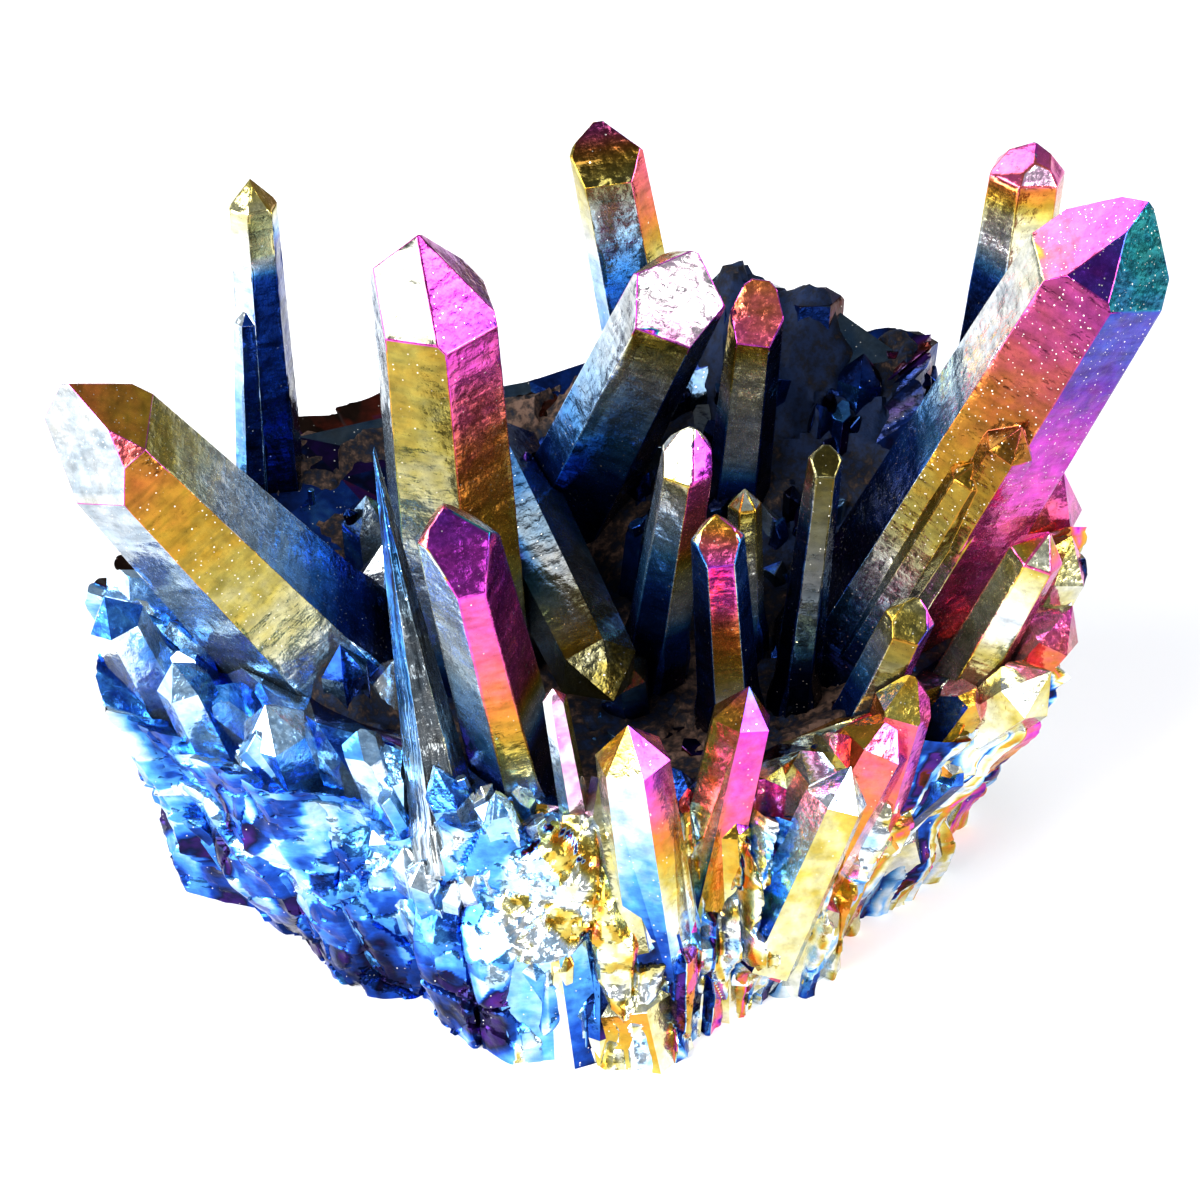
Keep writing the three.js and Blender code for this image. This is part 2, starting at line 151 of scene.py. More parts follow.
# Titanium film on quartz: a hard, mirror-like coat. It gives the eye saturated metallic colour that
# drifts from place to place, a satin gloss broken by growth lines, and glinting grains of dust.
def titanium_film(name, drift, gloss, line_mm, line_depth):
    """The film as a material: its colour drift, roughness limits, and the size and depth of its lines."""
    material, tree, shader = new_material(name)
    place = add(tree, "TexCoord").outputs["Object"]
    film, painted_light_level, dust = (
        add(tree, "Attribute", attribute_name=layer).outputs["Fac"] for layer in ("film", "shade", "dust")
    )
    cloud = add(
        tree, "TexNoise", {"Vector": place, "Scale": 1 / (2.4 * MM), "Detail": 2.0, "Roughness": 0.6},
    )
    # Growth lines lie across a crystal, close together along it and long round it. On the needle they
    # run the other way, from its root to its tip.
    stretch = (1 / (line_mm[0] * MM), 1 / (line_mm[0] * MM), 1 / (line_mm[1] * MM))
    drawn = add(tree, "VectorMath", {0: place, 1: stretch}, operation="MULTIPLY")
    lines = add(
        tree, "TexNoise",
        {"Vector": drawn.outputs["Vector"], "Scale": 1.0, "Detail": 2.0, "Roughness": 0.65},
    )
    # The coat is mottled, a little brighter and duller in patches 1 to 2 mm across.
    patches = add(
        tree, "TexNoise", {"Vector": place, "Scale": 1 / (1.5 * MM), "Detail": 3.0, "Roughness": 0.7},
    )
    # Fine pits about 0.3 mm apart make the gloss uneven and the surface rough.
    pits = add(tree, "TexNoise", {"Vector": place, "Scale": 1 / (0.3 * MM), "Detail": 1.0, "Roughness": 0.7})
    # Each noise acts over a range of its own. The troughs of the growth lines are painted darker: painted
    # shade.
    acts = {}
    for role, source, low, high, least, most in (
        ("drift", cloud, 0.25, 0.75, -drift, drift),
        ("bands", lines, 0.25, 0.75, -0.4 * drift, 0.4 * drift),
        ("troughs", lines, 0.3, 0.55, 1 - 0.55 * line_depth, 1.0),
        ("mottle", patches, 0.35, 0.65, 0.68, 1.1),
        ("gloss", pits, 0.3, 0.7, *gloss),
    ):
        acts[role] = add(
            tree, "MapRange",
            {"Value": source.outputs["Fac"], "From Min": low, "From Max": high,
             "To Min": least, "To Max": most},
        ).outputs["Result"]
    drifted = add(tree, "Math", {0: film, 1: acts["drift"]}, operation="ADD")
    thickness = add(tree, "Math", {0: drifted.outputs["Value"], 1: acts["bands"]}, operation="ADD")
    colours = add(tree, "ValToRGB", {"Fac": thickness.outputs["Value"]})
    stops = colours.color_ramp.elements
    for stop, (position, hex_colour) in zip([stops[0], stops[1]], [FILM_COLOURS[0], FILM_COLOURS[-1]]):
        stop.position, stop.color = position, linear(hex_colour)
    for position, hex_colour in FILM_COLOURS[1:-1]:
        stops.new(position).color = linear(hex_colour)
    # Painted light and shade: the film's colour is scaled by each corner's painted light level and by the
    # dark troughs of the growth lines; the mottle is the coat's own.
    uneven = add(tree, "Math", {0: acts["troughs"], 1: acts["mottle"]}, operation="MULTIPLY")
    lit = add(tree, "Math", {0: painted_light_level, 1: uneven.outputs["Value"]}, operation="MULTIPLY")
    toned = add(
        tree, "VectorMath",
        {0: colours.outputs["Color"], "Scale": lit.outputs["Value"]}, operation="SCALE",
    )
    # Pale grains of dust up to 0.13 mm across, on some of the cells of a 0.3 mm scatter.
    scatter = add(tree, "TexVoronoi", {"Vector": place, "Scale": 1 / (0.3 * MM)})
    chance = add(tree, "SeparateColor", {"Color": scatter.outputs["Color"]})
    reach = add(tree, "Math", {0: chance.outputs["Green"], 1: 0.22}, operation="MULTIPLY")
    near = add(
        tree, "Math",
        {0: scatter.outputs["Distance"], 1: reach.outputs["Value"]}, operation="LESS_THAN",
    )
    some = add(tree, "Math", {0: chance.outputs["Red"], 1: dust}, operation="LESS_THAN")
    speck = add(
        tree, "Math", {0: near.outputs["Value"], 1: some.outputs["Value"]}, operation="MULTIPLY",
    )
    dusted = add(
        tree, "Mix",
        {0: speck.outputs["Value"], "A": toned.outputs["Vector"], "B": linear("#f6f0e2")}, data_type="RGBA",
    )
    # Shallow dimples about 1 mm across, left by crystals that touched the face as it grew.
    dimples = add(tree, "TexNoise", {"Vector": place, "Scale": 1 / (1.1 * MM), "Detail": 1.0})
    ridges = add(
        tree, "Bump",
        {"Height": lines.outputs["Fac"], "Strength": 0.6 * line_depth, "Distance": 0.11 * MM},
    )
    dented = add(
        tree, "Bump",
        {"Height": dimples.outputs["Fac"], "Strength": 0.5, "Distance": 0.16 * MM,
         "Normal": ridges.outputs["Normal"]},
    )
    pitted = add(
        tree, "Bump",
        {"Height": pits.outputs["Fac"], "Strength": 0.45, "Distance": 0.04 * MM,
         "Normal": dented.outputs["Normal"]},
    )
    tree.links.new(dusted.outputs["Result"], shader.inputs["Base Color"])
    tree.links.new(acts["gloss"], shader.inputs["Roughness"])
    tree.links.new(pitted.outputs["Normal"], shader.inputs["Normal"])
    shader.inputs["Metallic"].default_value = 0.92  # a little of the quartz shows through
    return material


crystal_film = titanium_film(
    "titanium_film_on_crystals", drift=0.018, gloss=(0.1, 0.28), line_mm=(3.4, 0.8), line_depth=0.7,
)
needle_film = titanium_film(
    "titanium_film_on_needle", drift=0.03, gloss=(0.06, 0.2), line_mm=(0.4, 14.0), line_depth=1.5,
)

# For each crystal: the line of its long axis in mm, the turn of its front face, how dusty it is, and
# for its left, front and right sides the film from root to shoulder, the film on the tip face, and
# the painted light on the side and on the tip: a factor on the film's colour that paints shade and
# highlight face by face. The rim is the film on the tip's edges.
CRYSTALS = {
    "crystal_front_tall": {
        "axis": ((-10.5, 4.2, 19), (-12.6, 2.4, 56.7)), "spin": -18, "dust": 0.25, "rim": 0.66,
        "left": ([NAVY, SKY, ICE, 0.34, 0.35], [ICE, 0.34], 0.8, 0.7),
        "front": (
            [ROYAL, ICE, 0.34, 0.38, STRAW, 0.44, OLIVE, 0.465, 0.475],
            [0.405, 0.39, 0.385, 0.395], 0.55, 0.19,
        ),
        "right": (
            [ROYAL, STRAW, OLIVE, GOLD, 0.51, 0.54, 0.58, 0.63, 0.68],
            [0.745, 0.71, 0.69, 0.68], 0.95, 0.85,
        ),
    },
    "crystal_left_leaning": {
        "axis": ((-21.6, 2, 20.4), (-40.2, -2.5, 47.6)), "spin": 22, "dust": 0.6, "rim": 0.67,
        "left": ([SKY, ICE, 0.325, 0.335, 0.34, 0.345], [0.35, 0.36, 0.37], [0.75, 0.75, 0.7, 0.6], 0.55),
        "front": (
            [ROYAL, 0.35, STRAW, 0.44, OLIVE, 0.47, GOLD, 0.5, 0.53],
            [0.58, 0.64], [0.75, 0.7, 0.55], 0.7,
        ),
        "right": ([NAVY, ROYAL, 0.28, 0.33, 0.36, 0.41, OLIVE], [0.48, 0.51, 0.55, 0.62], 0.6, 1),
    },
    "crystal_back_left": {
        "axis": ((-25.5, 21, 20), (-26.7, 24, 48.6)), "spin": 20, "dust": 0.05,
        "left": (
            [NAVY, ROYAL, SKY, 0.26, 0.26, 0.28, ICE, ICE, 0.33, 0.34, 0.35, 0.39, 0.43],
            [0.43, 0.45], 0.95, 1,
        ),
        "front": (
            [NAVY, NAVY, 0.14, 0.14, 0.15, 0.15, 0.15, 0.155, 0.155, 0.16, 0.16, 0.17, 0.2,
             0.43, 0.44, 0.44],
            [0.43, 0.47], 0.75, 1,
        ),
        "right": ([NAVY, NAVY, 0.14, 0.15, 0.15, 0.15, 0.15, 0.16, 0.16, 0.46], [GOLD, GOLD], 0.7, 0.8),
    },
    "crystal_front_short": {
        "axis": ((-6, -9.9, 17), (-10.8, -14, 44.4)), "spin": 8, "dust": 0.1,
        "left": ([NAVY, ROYAL, 0.27, ICE, 0.35, 0.36, 0.36], [CORAL, 0.57], 1, 1),
        "front": ([ROYAL, STRAW, GOLD, AMBER, CORAL, 0.63, PINK], [0.70, 0.72, 0.745], 1, 0.62),
        "right": ([NAVY, NAVY, 0.62, 0.66, 0.70], [TEAL, 0.84], 0.45, 0.9),
    },
    "crystal_front_needle": {
        "axis": ((-10.8, -14.2, 15), (-16.1, -5, 44.2)), "spin": 12, "dust": 0.3,
        "left": ([0.35, ICE, SKY, 0.22, 0.2, 0.22], [SKY, ICE], 0.7, 0.8),
        "front": ([0.36, 0.36, 0.35, 0.33, 0.2, 0.22], [ICE, SILVER], [0.55, 0.35, 0.3, 0.35, 0.5], 0.8),
        "right": ([SILVER, 0.37, 0.36, 0.34, 0.28], [ICE, ICE], 0.28, 0.6),
    },
    "crystal_back_centre": {
        "axis": ((5.2, 26, 23), (0, 30, 51)), "spin": -4, "dust": 0.15,
        "left": ([NAVY, NAVY, ROYAL, 0.24, 0.28, ICE, STRAW, OLIVE], [0.45, 0.48], 0.8, 1),
        "front": ([NAVY, NAVY, 0.15, 0.17, 0.19, 0.22, 0.27, 0.36, 0.44], [0.45, 0.5, 0.64, 0.7], 0.3, 0.17),
        "right": ([NAVY, ROYAL, ICE, SILVER, STRAW, AMBER, CORAL], [PINK, VIOLET], 0.9, 0.8),
    },
    "crystal_centre_leaning": {
        "axis": ((-3, 19.6, 20), (7.4, 13.6, 48.2)), "spin": -4, "dust": 0.12, "rim": 0.7,
        "left": ([NAVY, NAVY, ROYAL, SKY, 0.29, 0.34, 0.37], [0.43, 0.4], 0.7, 1),
        "front": (
            [NAVY, NAVY, 0.15, 0.18, 0.22, 0.26, 0.3, 0.36, 0.43, 0.47],
            [0.99, 0.967, 0.975, 0.985], 0.5, 1,
        ),
        "right": ([NAVY, NAVY, NAVY, NAVY, ROYAL], [0.66, MAGENTA], 0.6, 0.8),
    },
    "crystal_centre_slim": {
        "axis": ((10.6, 17.6, 22), (12.2, 16, 45)), "spin": -6, "dust": 0.1, "rim": 0.67,
        "left": ([NAVY, NAVY, 0.16, STRAW, GOLD], [AMBER, AMBER], 0.8, 0.9),
        "front": ([NAVY, NAVY, ROYAL, 0.34, 0.37, 0.38, 0.395, 0.42, 0.5], [0.62, 0.58, 0.55, 0.6], 1, 1),
        "right": ([NAVY, NAVY, NAVY, NAVY, NAVY], [MAGENTA, MAGENTA], 0.6, 0.7),
    },
    "crystal_inner_blade": {
        "axis": ((4.2, 3.3, 19), (6.9, 1, 41.2)), "spin": -22, "dust": 0.1,
        "left": ([NAVY, ROYAL, SKY, ICE, SILVER], [SILVER, SILVER], 0.8, 1),
        "front": ([NAVY, 0.15, 0.17, 0.2, 0.27, 0.34, 0.44], [0.4, 0.37, 0.38], 0.7, 1),
        "right": ([NAVY, ROYAL, SILVER, STRAW, AMBER, CORAL, PINK], [0.72, MAGENTA], 1, 0.8),
    },
    "crystal_inner_short": {
        "axis": ((9.8, -3.2, 18), (8.5, -5.4, 37.4)), "spin": 4, "dust": 0.15,
        "left": ([NAVY, NAVY, NAVY, 0.15, 0.2], [STRAW, STRAW], 0.7, 0.9),
        "front": ([NAVY, STRAW, GOLD, AMBER, PINK, MAGENTA], [0.66, 0.6, 0.52, 0.47], 1, 0.7),
        "right": ([NAVY, NAVY, 0.15, 0.18, 0.2], [CORAL, PINK], 0.7, 0.8),
    },
    "crystal_inner_sliver": {
        "axis": ((11.1, 5.4, 19), (10.9, 5.6, 32.4)), "spin": 10, "dust": 0.1,
        "left": ([NAVY, ROYAL, ICE, STRAW], [STRAW, SILVER], 0.9, 1),
        "front": ([NAVY, ICE, SILVER, STRAW, 0.46], [0.4, SILVER], 1, 1),
        "right": ([NAVY, STRAW, GOLD], [STRAW, STRAW], 0.9, 0.9),
    },
    "crystal_inner_dark": {
        "axis": ((14.7, -1.8, 18), (16.7, -1, 40.6)), "spin": 3, "dust": 0.3, "rim": 0.43,
        "left": ([NAVY, NAVY, 0.15, 0.18, 0.45], [OLIVE, OLIVE], 0.2, 0.25),
        "front": ([NAVY, 0.16, 0.27, 0.33, 0.36, 0.4, 0.44, OLIVE], [0.45, 0.46], 0.12, 0.13),
        "right": ([NAVY, NAVY, 0.15, 0.17, 0.2], [GOLD, GOLD], 0.2, 0.2),
    },
    "crystal_right_large": {
        "axis": ((20.6, 5, 18), (39.9, 4, 58.9)), "spin": -24, "dust": 0.85, "budded": True,
        "left": ([NAVY, NAVY, NAVY, 0.16, 0.2, 0.29, 0.36, SILVER, 0.4], [0.61, 0.655, 0.69], 0.8, 0.85),
        "front": (
            [0.15, 0.19, 0.28, 0.38, 0.44, 0.47, 0.49, 0.515, 0.55, 0.59, 0.63, 0.645], [0.75, 0.77, 0.79],
            [0.2, 0.25, 0.38, 0.44, 0.44, 0.4, 0.36, 0.34], 0.7,
        ),
        "right": (
            [GOLD, AMBER, CORAL, 0.63, PINK, PINK, 0.67, 0.69, 0.71, 0.75, 0.79, 0.8],
            [0.86, 0.87, 0.88], 0.95, 0.9,
        ),
    },
    "crystal_back_right": {
        "axis": ((29.2, 18.8, 19.6), (32.8, 22, 53.8)), "spin": 14, "dust": 0.1,
        "left": (
            [NAVY, NAVY, NAVY, NAVY, NAVY, NAVY, NAVY, 0.14, 0.17, 0.36, 0.42, 0.58],
            [0.62, 0.66], 0.8, 1,
        ),
        "front": (
            [NAVY, NAVY, NAVY, NAVY, NAVY, NAVY, NAVY, 0.14, 0.17, 0.34, 0.4, 0.44, 0.56],
            [0.985, 0.97], 1, 1,
        ),
        "right": ([NAVY, NAVY, NAVY, NAVY, NAVY, ROYAL, STRAW, CORAL], [0.64, PINK], 0.8, 1),
    },
    "crystal_right_stub": {
        "axis": ((18.4, -5.1, 16), (23.5, -6.8, 30.8)), "spin": 0, "dust": 0.4,
        "left": ([NAVY, NAVY, 0.18, 0.3, 0.44], [0.44, 0.44], 0.5, 0.5),
        "front": ([NAVY, 0.22, 0.38, 0.44, 0.47], [0.46, 0.44], 0.35, 0.4),
        "right": ([GOLD, CORAL, PINK, MAGENTA, VIOLET], [PINK, MAGENTA], 1, 1),
    },
    "crystal_right_side": {
        "axis": ((26.4, -2.5, 18), (33.2, -3.4, 34.6)), "spin": 0, "dust": 0.2, "rim": 0.62,
        "left": ([SILVER, 0.4, STRAW, STRAW, 0.44], [0.46, PINK], 0.8, 0.9),
        "front": ([ICE, SILVER, STRAW, 0.46, 0.38, 0.36, 0.41, 0.46], [0.4, STRAW], 0.9, 0.9),
        "right": ([GOLD, AMBER, CORAL, PINK, PINK], [PINK, STRAW], 1, 1),
    },
}
EDGE_ROUND = 0.12 * MM  # a crystal edge is rounded about this far by wear
RING_STEP = 0.45 * MM  # spacing of the steps that cross a prism face
EDGE = -1  # the mark of a rounded edge, where a face has its number
LOWEST_SHOULDER = 0.72  # no tip starts below this share of its crystal's length


def crystal_frame(root, tip):
    """Axes of a crystal: +Z from root to tip, -Y as near the front as the lean allows."""
    along = (Vector(tip) - Vector(root)).normalized()
    back = (Vector((0, 1, 0)) - along * along.y).normalized()
    return Matrix((back.cross(along), back, along)).transposed().to_4x4()


def held(number):
    """A number held between 0 and 1."""
    return min(max(number, 0), 1)


def blend_of(stops, share):
    """The film part way along a face, from evenly spaced stops."""
    place = held(share) * (len(stops) - 1)
    low = min(int(place), len(stops) - 2)
    return stops[low] + (stops[low + 1] - stops[low]) * (place - low)


def film_layers(parts):
    """New layers for the film, its painted light and shade, and its dust, on a mesh's corners or points."""
    return [parts.layers.float.new(name) for name in ("film", "shade", "dust")]


def finish_mesh(name, bm, material, sharp_deg):
    """The bmesh as an object in the scene with the material, smooth but for edges sharper than given."""
    mesh = bpy.data.meshes.new(name)
    bm.to_mesh(mesh)
    bm.free()
    mesh.shade_smooth()
    mesh.set_sharp_from_angle(angle=math.radians(sharp_deg))
    mesh.materials.append(material)
    piece = bpy.data.objects.new(name, mesh)
    bpy.context.scene.collection.objects.link(piece)
    return piece


for seed, (node, crystal) in enumerate(CRYSTALS.items()):
    root, tip = (Vector(end) * MM for end in crystal["axis"])
    length = (tip - root).length
    to_world = Matrix.Translation(root) @ crystal_frame(root, tip)
    bm = bmesh.new()
    bm.from_mesh(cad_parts[node].data)
    bmesh.ops.remove_doubles(bm, verts=bm.verts, dist=1e-6)
    bmesh.ops.transform(bm, matrix=to_world.inverted(), verts=bm.verts)
    bmesh.ops.dissolve_limit(bm, angle_limit=math.radians(1), verts=bm.verts, edges=bm.edges)
    bm.normal_update()
    facet = bm.faces.layers.int.new("facet")
    for face in bm.faces:  # 0 to 5 are the prism faces from the front round by the right, 6 to 11 the tips
        turn = math.degrees(math.atan2(face.normal.y, face.normal.x)) + 90 - crystal["spin"]
        face[facet] = round(turn / 60) % 6 + (6 if face.normal.z > 0.35 else 0)
    # The faces of a bud stand out from the front face that it grew on, and take the front's film.
    front = max((face for face in bm.faces if face[facet] == 0), key=lambda face: face.calc_area())
    middle, outward = front.calc_center_median(), front.normal.copy()
    for face in bm.faces:
        if crystal.get("budded") and (face.calc_center_median() - middle).dot(outward) > 0.1 * MM:
            face[facet] = 0
    sharp = [edge for edge in bm.edges if edge.calc_face_angle(0) > math.radians(8)]
    rounded = bmesh.ops.bevel(
        bm, geom=sharp, offset=EDGE_ROUND, segments=2, profile=0.6, affect="EDGES", clamp_overlap=True
    )
    for face in rounded["faces"]:
        face[facet] = EDGE
    # Growth steps: cut the faces into rings along the axis and strips round it, then lift or sink them.
    cuts = [(Vector((0, 0, z * RING_STEP)), Vector((0, 0, 1))) for z in range(-2, int(length / RING_STEP))]
    for i in range(12):
        angle = math.radians(15 * i + 7.5 + crystal["spin"])
        cuts.append((Vector((0, 0, 0)), Vector((math.cos(angle), math.sin(angle), 0))))
    for point, normal in cuts:
        geometry = bm.verts[:] + bm.edges[:] + bm.faces[:]
        bmesh.ops.bisect_plane(bm, geom=geometry, dist=1e-7, plane_co=point, plane_no=normal)
    bm.normal_update()
    moves = {}
    for vert in bm.verts:
        facets = {face[facet] for face in vert.link_faces}
        real = [face for face in vert.link_faces if face[facet] != EDGE]
        if not real:
            continue
        normal = sum((face.normal for face in real), Vector()).normalized()
        p = vert.co / MM
        kind = min(face[facet] for face in real)
        if kind < 6:
            step = noise.noise(Vector((p.x * 0.25, p.y * 0.25, p.z * 1.6 + 31 * kind + 7 * seed)))
            swell = noise.noise(Vector((p.x * 0.3, p.y * 0.3, p.z * 0.35 + 17 * kind + 5 * seed)))
            rise = 0.09 * step + 0.12 * swell
        else:
            rise = 0.05 * noise.noise(p * 0.7 + Vector((seed, kind, 0)))
        if len(facets) > 1:
            rise *= 0.35
        foot = max(0.0, 1 - max(p.z - 0.5, 0) / 2)
        moves[vert] = normal * (rise + 0.34 * foot * (1 if kind < 6 else 0)) * MM
    for vert, move in moves.items():
        vert.co += move
    # The film on every face corner: sides from the root up, tips from the shoulder, edges a shade on.
    film, shade, dust = film_layers(bm.loops)
    sides = {5: crystal["left"], 0: crystal["front"], 1: crystal["right"]}
    sides |= {4: crystal["left"], 3: crystal["front"], 2: crystal["right"]}
    tip_faces = [face for face in bm.faces if face[facet] >= 6]
    tip_heights = [vert.co.z for face in tip_faces for vert in face.verts]
    shoulder = min(z for z in tip_heights if z > length * LOWEST_SHOULDER)
    for face in bm.faces:
        for loop in face.loops:
            p = loop.vert.co
            turn = math.degrees(math.atan2(p.y, p.x)) + 90 - crystal["spin"]
            facing = round(turn / 60) if face[facet] == EDGE else face[facet]
            side, end, side_painted_light, end_painted_light = sides[facing % 6]
            top = (p.z - shoulder) / (length - shoulder)
            on_tip = face[facet] >= 6 and top > 0 or face[facet] == EDGE and top > 0.5
            loop[film] = blend_of(end, top) if on_tip else blend_of(side, p.z / shoulder)
            loop[film] += 0.03 if face[facet] == EDGE or (face[facet] >= 6 and not on_tip) else 0
            if face[facet] == EDGE and top > -0.1:
                loop[film] = crystal.get("rim", loop[film])
            # Each corner takes the painted light of its side or tip, which paints shade and highlight into
            # the colour.
            along_side = side_painted_light if isinstance(side_painted_light, list) else [side_painted_light]
            loop[shade] = end_painted_light if on_tip else blend_of(along_side, p.z / shoulder)
            # Rounded edges are painted half as bright again: a painted highlight along them.
            if face[facet] == EDGE:
                loop[shade] = min(1.5 * loop[shade], 1)
            loop[dust] = crystal["dust"]
    coat = needle_film if "needle" in node else crystal_film
    piece = finish_mesh(node + "_coated", bm, coat, sharp_deg=35)
    piece.matrix_world = to_world
    piece.modifiers.new("flat faces", "WEIGHTED_NORMAL").keep_sharp = True
    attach(piece, "root")
    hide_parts(node)

# The matrix: one block of rock whose walls are a crust of intergrown quartz, under the same film.
# The film is thin on the left wall, blue with purple in the cracks, whose dark is partly painted shade,
# and thicker to gold and pink on the right; the dished top got next to none and stays navy and brown,
# and the faces of the hollow and of the inner back wall are painted darker still: painted shade.
crust_film = titanium_film(
    "titanium_film_on_crust", drift=0.03, gloss=(0.08, 0.26), line_mm=(1.6, 0.7), line_depth=0.28,
)
BLOCK_CENTRE = Vector((0, 3, 0))  # the foot of the block's middle line in mm


def wall_film(p, chance):
    """The film on a facet of the crust, by its place in mm and the facet's own chance from 0 to 1."""
    thick_side = held((p.x + 8) / 10)
    pick = chance * 97.3 % 1
    if chance * 31.7 % 1 > thick_side:
        purple = held((noise.noise(p * 0.2) - 0.12) / 0.2)
        low = held((8 - p.z) / 8)
        shades = (0.262, 0.278, 0.29, 0.296, 0.302, 0.308, 0.312, 0.318, 0.33, 0.345)
        return shades[int(pick * 10)] - max(0.15 * purple, 0.09 * low) * (0.3 + 0.7 * pick)
    if pick < 0.16:
        return NAVY + 0.4 * pick
    shades = (0.355, 0.365, 0.375, 0.385, 0.395, 0.405, 0.42, 0.435, 0.455, 0.48, 0.62)
    return shades[int(pick * 11)] + 0.001 * p.z


def is_inside(p):
    """Whether a place in mm is in the dished top, away from the rim."""
    return p.z > 13 and (p.x / 29) ** 2 + ((p.y - 6) / 19) ** 2 < 1


def hollow_film(p):
    """The film in the hollow: dark navy, partly thin film and partly painted shade, or bare brown rock where
    the crystals sheltered it.
    """
    bare = noise.noise(Vector((p.x * 0.13 + 1.3, p.y * 0.13, 3.0)))
    return 0.14 + 0.04 * noise.noise(p * 0.4) - 0.13 * held((bare - 0.02) / 0.15)


# The crystals that grew out of the crust, on the floor, on the right rim and along the front lip, told in
# the same way as the large ones.
FUSED_CRYSTALS = [
    {
        "axis": ((-6.6, 16, 24), (1, -7.4, 22)), "spin": 10, "across": 6.4,
        "left": ([ROYAL, 0.2, 0.16, 0.2, 0.33, 0.44, 0.455], [0.44, OLIVE], 0.2),
        "front": ([ROYAL, 0.2, 0.16, 0.2, 0.33, 0.44, 0.455], [0.44, OLIVE], 0.16),
        "right": ([ROYAL, 0.18, 0.15, 0.17, 0.24, 0.4, 0.45], [OLIVE, 0.44], 0.22),
    },
    {
        "axis": ((-15.4, 6, 14), (-16.4, 8, 26)), "spin": 24, "across": 6.4,
        "left": ([NAVY, ROYAL, ICE, 0.36], [0.36, 0.38], 0.7),
        "front": ([NAVY, 0.16, 0.3, 0.35], [0.35, 0.36], 0.4),
        "right": ([NAVY, NAVY, 0.16, 0.2], [STRAW, OLIVE], 0.4),
    },
    {
        "axis": ((-17, -2, 13), (-15.4, -3.4, 23)), "spin": 40, "across": 6,
        "left": ([SKY, ICE, 0.35], [0.36, 0.36], 0.8),
        "front": ([ROYAL, ICE, 0.34], [0.36, 0.4], 0.7),
        "right": ([NAVY, NAVY, ROYAL], [NAVY, SKY], 0.5),
    },
    {
        "axis": ((2, 0, 17), (1.6, -2.4, 22.6)), "spin": 25, "across": 3.6,
        "left": ([NAVY, 0.2, 0.26], [0.28, 0.33], 0.5),
        "front": ([NAVY, 0.2, 0.28], [0.33, 0.36], 0.4),
        "right": ([NAVY, NAVY, 0.16], [NAVY, 0.2], 0.5),
    },
    {
        "axis": ((28, 9, 14), (35, 7, 33)), "spin": 10, "across": 6,
        "left": ([STRAW, SILVER, 0.4, STRAW], [0.44, 0.48], 0.9),
        "front": ([SILVER, 0.4, 0.43, 0.5, 0.6], [0.6, PINK], 0.9),
        "right": ([GOLD, CORAL, PINK], [PINK, 0.66], 1),
    },
    {
        "axis": ((28.6, 3.4, 13), (35.4, 2, 30.5)), "spin": 25, "across": 5.4,
        "left": ([ICE, SILVER, 0.4], [STRAW, 0.47], 0.9),
        "front": ([ICE, SILVER, STRAW, 0.46, 0.4], [0.42, 0.47], 0.9),
        "right": ([STRAW, AMBER, CORAL, PINK], [PINK, PINK], 1),
    },
    {
        "axis": ((26.6, 0, 13), (35.4, -1.6, 26.6)), "spin": 5, "across": 5,
        "left": ([NAVY, ICE, SILVER], [SILVER, STRAW], 0.8),
        "front": ([STRAW, 0.46, 0.52, 0.6], [0.62, PINK], 0.9),
        "right": ([SILVER, STRAW, GOLD], [CORAL, PINK], 1),
    },
    {
        "axis": ((24, -2.6, 13), (33.6, -6.4, 24)), "spin": 40, "across": 5.2,
        "left": ([ICE, SILVER, 0.4, 0.44], [SILVER, STRAW], 0.9),
        "front": ([NAVY, ICE, SILVER, STRAW], [STRAW, 0.46], 0.9),
        "right": ([STRAW, GOLD, CORAL, PINK], [CORAL, PINK], 1),
    },
    {
        "axis": ((-1.3, -15.4, 14), (-3.4, -17.4, 30.4)), "spin": 15, "across": 2.2,
        "left": ([SKY, ICE, SILVER, SILVER], [ROSE, 0.98], 0.9),
        "front": ([0.99, 0.975, 0.97, 0.98, 0.99], [0.985, BLUSH], 1),
        "right": ([NAVY, STRAW, OLIVE, GOLD], [PINK, CORAL], 0.6),
    },
    {
        "axis": ((4.4, -18, 8), (2, -19.4, 28.6)), "spin": -14, "across": 5.6,
        "left": ([ROYAL, ICE, 0.36, STRAW], [OLIVE, GOLD], 0.9),
        "front": ([NAVY, ROYAL, ICE, 0.34, 0.36, 0.37], [0.43, 0.47], 0.9),
        "right": ([NAVY, OLIVE, AMBER, CORAL, PINK, MAGENTA], [MAGENTA, VIOLET], 1),
    },
    {
        "axis": ((7.4, -15.6, 10), (10.9, -13, 27.4)), "spin": 24, "across": 4.8,
        "left": ([NAVY, 0.36, STRAW, OLIVE, 0.47], [GOLD, CORAL], 0.6),
        "front": ([OLIVE, AMBER, CORAL, PINK, MAGENTA], [0.72, 0.78], 1),
        "right": ([STRAW, GOLD, CORAL, PINK], [INDIGO, SKY], 0.9),
    },
    {
        "axis": ((14.4, -12.6, 8), (22, -9, 22.6)), "spin": 0, "across": 5.6,
        "left": ([NAVY, STRAW, OLIVE, AMBER], [0.5, AMBER], 0.8),
        "front": ([OLIVE, GOLD, AMBER, 0.58, CORAL], [0.62, PINK, MAGENTA], 1),
        "right": ([GOLD, CORAL, PINK, MAGENTA], [PINK, MAGENTA], 1),
    },
    {
        "axis": ((13.2, -17.2, 8.4), (18.4, -15, 21.6)), "spin": 8, "across": 4.8,
        "left": ([NAVY, ROYAL, ICE, SILVER], [SILVER, ICE], 0.9),
        "front": ([STRAW, OLIVE, STRAW, SILVER, OLIVE], [ICE, SILVER], 1),
        "right": ([OLIVE, AMBER, CORAL, GOLD], [SILVER, STRAW], 1),
    },
]


